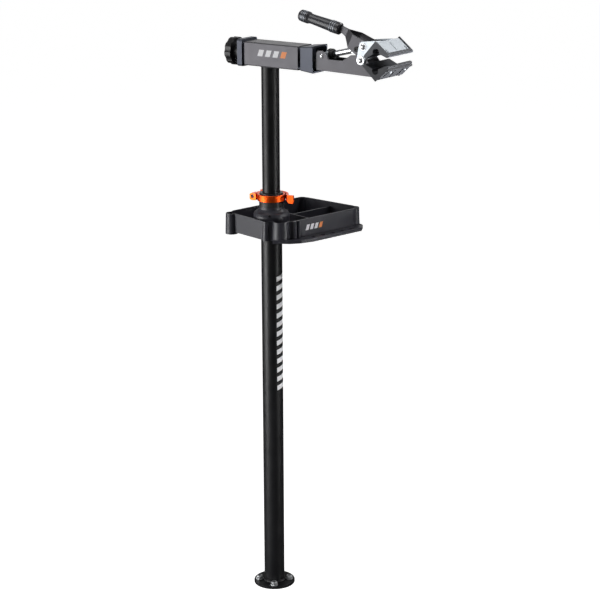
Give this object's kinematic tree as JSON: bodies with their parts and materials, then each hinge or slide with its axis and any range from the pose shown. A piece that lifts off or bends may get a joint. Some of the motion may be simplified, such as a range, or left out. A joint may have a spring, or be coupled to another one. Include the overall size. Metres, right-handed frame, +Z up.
{
  "type": "bike repair stand",
  "caption": "Floor-mounted workshop stand: bolted tube with a sliding, turning mast, a tool tray and a turning clamp head whose toggle lever closes padded jaws.",
  "frame": {"origin": "centre of the floor flange on its underside", "axes": "+Z up along the tubes; +X from the tubes along the arm towards the jaws; +Y to the side the tray runs back to"},
  "size_m": [0.5035, 0.2937, 1.5428],
  "materials": {
    "tube_paint": "satin black powder coat",
    "head_paint": "satin charcoal powder coat",
    "slate_metal": "satin slate-grey powder coat",
    "orange_anodised": "satin orange anodised",
    "tray_plastic": "fine-grained matt black",
    "collar_plastic": "matt black",
    "bushing_plastic": "semi-matt black",
    "knob_plastic": "matt black",
    "black_oxide": "black oxide",
    "zinc_steel": "bright zinc plate",
    "galvanised": "dull zinc plate",
    "chrome": "polished chrome",
    "spindle_steel": "turned steel",
    "friction_fibre": "matt black fibre",
    "jaw_rubber": "matt black",
    "jaw_paint": "satin black powder coat",
    "grip_rubber": "matt black",
    "ring_grey": "satin silver grey"
  },
  "bodies": {
    "base": {"floor_flange": "tube_paint", "lower_tube": "tube_paint", "anchor_washers": "galvanised", "anchor_nuts": "galvanised", "tool_tray": "tray_plastic", "tool_rack": "tray_plastic", "tray_screws": "black_oxide", "collar_sleeve": "collar_plastic", "collar_ring": "orange_anodised", "qr_skewer": "spindle_steel", "qr_nut": "black_oxide", "qr_washer": "black_oxide", "qr_pin": "black_oxide"},
    "quick_release": {"qr_lever": "orange_anodised"},
    "post_guide": {"guide_bushing": "bushing_plastic"},
    "mast": {"upper_tube": "tube_paint", "mast_glide": "bushing_plastic", "head_housing": "head_paint", "rear_end_cap": "slate_metal", "front_plug": "slate_metal"},
    "clamp_head": {"spindle": "spindle_steel", "friction_washer": "friction_fibre", "friction_disc": "slate_metal", "clamp_block": "slate_metal", "arm_root": "jaw_paint", "clamp_arm": "head_paint", "link_pin": "chrome", "jaw_pin": "chrome", "lower_jaw_plate": "jaw_paint", "lower_jaw_pad": "jaw_rubber", "lower_pad_screws": "zinc_steel"},
    "knob": {"tension_knob": "knob_plastic", "knob_insert": "spindle_steel"},
    "upper_jaw": {"upper_jaw_bracket": "zinc_steel", "upper_jaw_pad": "jaw_rubber", "lever_pin": "chrome", "lever_spacers": "bushing_plastic"},
    "lever": {"lever_plate_near": "head_paint", "lever_plate_far": "head_paint", "toggle_bolts": "black_oxide", "lever_grip": "grip_rubber", "grip_rings": "ring_grey"},
    "link": {"link_rod": "zinc_steel", "link_barrel": "chrome"},
    "adjuster": {"adjuster_wheel": "knob_plastic"}
  },
  "joints": [
    {"name": "quick_release_swing", "type": "hinge", "parent": "base", "child": "quick_release", "pos_m": [-0.0435, 0.0255, 1.065], "axis": [0, 0, 1], "range_deg": [0, 120]},
    {"name": "mast_swivel", "type": "hinge", "parent": "base", "child": "post_guide", "pos_m": [0, 0, 1.0734], "axis": [0, 0, 1], "continuous": true},
    {"name": "mast_slide", "type": "slide", "parent": "post_guide", "child": "mast", "axis": [0, 0, 1], "range_m": [-0.22, 0.12]},
    {"name": "head_turn", "type": "hinge", "parent": "mast", "child": "clamp_head", "pos_m": [0, 0, 1.4275], "axis": [1, 0, 0], "continuous": true},
    {"name": "knob_turn", "type": "hinge", "parent": "clamp_head", "child": "knob", "pos_m": [-0.1, 0, 1.4275], "axis": [1, 0, 0], "continuous": true},
    {"name": "jaw_open", "type": "hinge", "parent": "clamp_head", "child": "upper_jaw", "pos_m": [0.287, 0, 1.438], "axis": [0, -1, 0], "range_deg": [0, 25]},
    {"name": "lever_swing", "type": "hinge", "parent": "upper_jaw", "child": "lever", "pos_m": [0.2935, 0, 1.4705], "axis": [0, -1, 0], "range_deg": [-92.4, 0]},
    {"name": "link_swing", "type": "hinge", "parent": "clamp_head", "child": "link", "pos_m": [0.172, 0, 1.438], "axis": [0, -1, 0], "range_deg": [0, 17.1]},
    {"name": "adjuster_spin", "type": "hinge", "parent": "link", "child": "adjuster", "pos_m": [0.172, 0, 1.438], "axis": [0.9719, 0, 0.2356], "continuous": true}
  ],
  "couplings": [
    {"joint": "lever_swing", "follows": "jaw_open", "ratio": -3.692},
    {"joint": "link_swing", "follows": "jaw_open", "ratio": 0.678}
  ]
}
